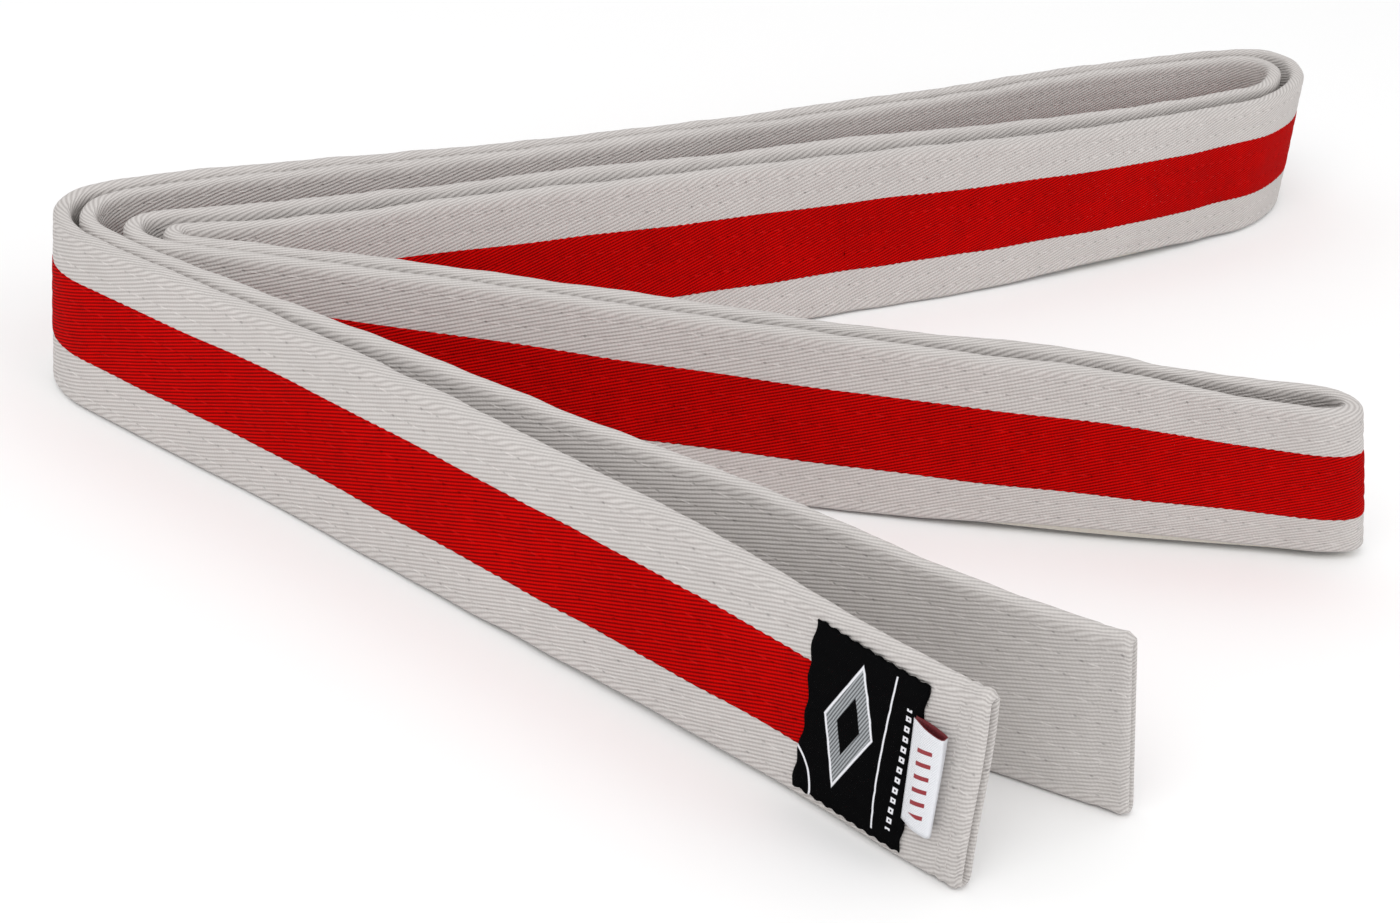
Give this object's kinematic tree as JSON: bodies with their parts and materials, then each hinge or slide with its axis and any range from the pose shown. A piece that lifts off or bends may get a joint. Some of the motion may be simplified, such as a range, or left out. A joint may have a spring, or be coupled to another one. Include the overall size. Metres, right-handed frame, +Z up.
{
  "type": "martial arts belt",
  "caption": "Cotton martial arts belt with a red stripe along the middle of one face, folded in half and lying zigzag on its long edge, with a woven label and a size tab at one end.",
  "frame": {"origin": "centre of the bounding box, on the plane the belt stands on", "axes": "+Z up, across the belt's width as it stands on its edge; +Y along the longest side of the folded plan, away from the free ends; +X to the right, where the front fold lies"},
  "size_m": [0.3139, 0.3962, 0.04],
  "materials": {
    "belt_twill": "off-white cotton twill, matte, with rows of stitching",
    "stripe_twill": "red cotton twill, matte",
    "interlining": "raw cotton interlining",
    "label_weave": "black damask label with a slight sheen",
    "tab_weave": "white satin ribbon",
    "sewing_thread": "off-white sewing thread"
  },
  "bodies": {
    "middle_run": {"middle_a_cover": "belt_twill", "middle_a_core": "interlining", "middle_a_stripe": "stripe_twill", "middle_b_cover": "belt_twill", "middle_b_core": "interlining", "middle_b_stripe": "stripe_twill", "right_bend_a_cover": "belt_twill", "right_bend_a_core": "interlining", "right_bend_a_stripe": "stripe_twill", "right_bend_b_cover": "belt_twill", "right_bend_b_core": "interlining", "right_bend_b_stripe": "stripe_twill", "inner_left_bend_a_cover": "belt_twill", "inner_left_bend_a_core": "interlining", "inner_left_bend_a_stripe": "stripe_twill", "inner_left_bend_b_cover": "belt_twill", "inner_left_bend_b_core": "interlining", "inner_left_bend_b_stripe": "stripe_twill"},
    "back_run": {"back_a_cover": "belt_twill", "back_a_core": "interlining", "back_a_stripe": "stripe_twill", "back_b_cover": "belt_twill", "back_b_core": "interlining", "back_b_stripe": "stripe_twill", "outer_left_bend_a_cover": "belt_twill", "outer_left_bend_a_core": "interlining", "outer_left_bend_a_stripe": "stripe_twill", "outer_left_bend_b_cover": "belt_twill", "outer_left_bend_b_core": "interlining", "outer_left_bend_b_stripe": "stripe_twill"},
    "tail_a": {"tail_a_cover": "belt_twill", "tail_a_core": "interlining", "tail_a_stripe": "stripe_twill", "end_a_hem": "belt_twill", "end_a_outer_seam": "sewing_thread", "end_a_inner_seam": "sewing_thread", "woven_label": "label_weave"},
    "tail_b": {"tail_b_cover": "belt_twill", "tail_b_core": "interlining", "tail_b_stripe": "stripe_twill", "end_b_hem": "belt_twill", "end_b_outer_seam": "sewing_thread", "end_b_inner_seam": "sewing_thread"},
    "loop_run": {"loop_a_cover": "belt_twill", "loop_a_core": "interlining", "loop_a_stripe": "stripe_twill", "front_fold_cover": "belt_twill", "front_fold_core": "interlining", "front_fold_stripe": "stripe_twill", "loop_b_cover": "belt_twill", "loop_b_core": "interlining", "loop_b_stripe": "stripe_twill"},
    "size_tab": {"size_tab": "tab_weave"}
  },
  "joints": [
    {"name": "back_fold", "type": "hinge", "parent": "middle_run", "child": "back_run", "pos_m": [0.1386, 0.1742, 0.02], "axis": [0, 0, -1], "range_deg": [0, 12.5], "deforming": ["right_bend_a_cover", "right_bend_a_core", "right_bend_a_stripe", "right_bend_b_cover", "right_bend_b_core", "right_bend_b_stripe"]},
    {"name": "tail_fold_a", "type": "hinge", "parent": "back_run", "child": "tail_a", "pos_m": [-0.1497, -0.0437, 0.02], "axis": [0, 0, -1], "range_deg": [0, 100], "deforming": ["outer_left_bend_a_cover", "outer_left_bend_a_core", "outer_left_bend_a_stripe"]},
    {"name": "tail_fold_b", "type": "hinge", "parent": "back_run", "child": "tail_b", "pos_m": [-0.1497, -0.0437, 0.02], "axis": [0, 0, -1], "range_deg": [0, 95], "deforming": ["outer_left_bend_b_cover", "outer_left_bend_b_core", "outer_left_bend_b_stripe"]},
    {"name": "loop_fold", "type": "hinge", "parent": "middle_run", "child": "loop_run", "pos_m": [-0.1319, -0.0466, 0.02], "axis": [0, 0, -1], "range_deg": [-12, 10], "deforming": ["inner_left_bend_a_cover", "inner_left_bend_a_core", "inner_left_bend_a_stripe", "inner_left_bend_b_cover", "inner_left_bend_b_core", "inner_left_bend_b_stripe"]},
    {"name": "size_tab_flap", "type": "hinge", "parent": "tail_a", "child": "size_tab", "pos_m": [0.03321, -0.18986, 0.0199], "axis": [0.0736, 0.0974, -0.9925], "range_deg": [0, 75]}
  ],
  "couplings": [
    {"joint": "tail_fold_b", "follows": "tail_fold_a", "ratio": 0.92},
    {"joint": "back_fold", "follows": "tail_fold_a", "ratio": 0.12}
  ]
}
